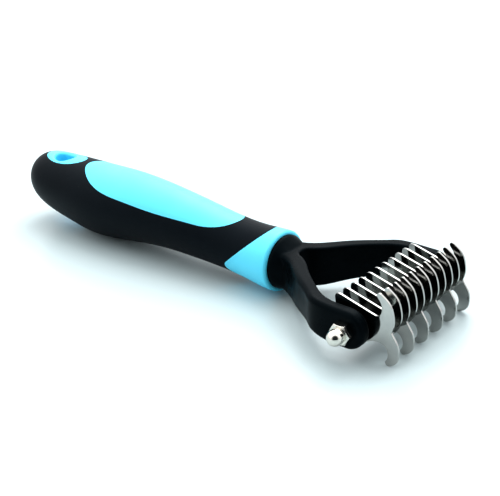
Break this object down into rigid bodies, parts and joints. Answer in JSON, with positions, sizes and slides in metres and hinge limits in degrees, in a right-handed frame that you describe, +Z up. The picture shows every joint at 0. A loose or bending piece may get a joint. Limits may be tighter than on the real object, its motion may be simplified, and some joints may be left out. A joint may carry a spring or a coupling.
{
  "type": "undercoat rake",
  "caption": "Two-sided undercoat rake: moulded grip with a hang hole, forked yoke, and curved steel blades clamped on a cross rod by cap nuts.",
  "frame": {"origin": "halfway along the tool, in its middle plane, on the surface it lies on", "axes": "+X from the tail of the handle to the blades, +Y along the blade rod, +Z up as the tool lies"},
  "size_m": [0.1976, 0.0706, 0.0296],
  "materials": {
    "yoke_plastic": "gloss black moulded nylon",
    "core_plastic": "matt black polypropylene",
    "grip_rubber": "soft-touch matt black",
    "blue_plastic": "satin sky blue",
    "rod_steel": "bright drawn steel",
    "nut_chrome": "bright nickel plate",
    "spacer_nylon": "matt black nylon",
    "blade_steel": "mirror polished stainless steel"
  },
  "bodies": {
    "handle": {"yoke": "yoke_plastic", "handle_core": "core_plastic", "grip_sleeve": "grip_rubber", "thumb_panel": "blue_plastic", "hang_eyelet": "blue_plastic", "front_collar": "blue_plastic", "axle_rod": "rod_steel", "near_end_washer": "spacer_nylon", "far_end_washer": "spacer_nylon"},
    "blade_pack": {"long_blade_01": "blade_steel", "short_blade_02": "blade_steel", "long_blade_03": "blade_steel", "short_blade_04": "blade_steel", "long_blade_05": "blade_steel", "short_blade_06": "blade_steel", "long_blade_07": "blade_steel", "short_blade_08": "blade_steel", "long_blade_09": "blade_steel", "short_blade_10": "blade_steel", "long_blade_11": "blade_steel", "blade_spacer_01": "spacer_nylon", "blade_spacer_02": "spacer_nylon", "blade_spacer_03": "spacer_nylon", "blade_spacer_04": "spacer_nylon", "blade_spacer_05": "spacer_nylon", "blade_spacer_06": "spacer_nylon", "blade_spacer_07": "spacer_nylon", "blade_spacer_08": "spacer_nylon", "blade_spacer_09": "spacer_nylon", "blade_spacer_10": "spacer_nylon"},
    "near_nut": {"near_cap_nut": "nut_chrome"},
    "far_nut": {"far_cap_nut": "nut_chrome"}
  },
  "joints": [
    {"name": "blade_pack_turn", "type": "hinge", "parent": "handle", "child": "blade_pack", "pos_m": [0.082, 0, 0.01148], "axis": [0, 1, 0], "range_deg": [-85, 95]},
    {"name": "near_nut_turn", "type": "hinge", "parent": "handle", "child": "near_nut", "pos_m": [0.082, -0.0275, 0.01148], "axis": [0, -1, 0], "continuous": true},
    {"name": "far_nut_turn", "type": "hinge", "parent": "handle", "child": "far_nut", "pos_m": [0.082, 0.0275, 0.01148], "axis": [0, 1, 0], "continuous": true}
  ]
}
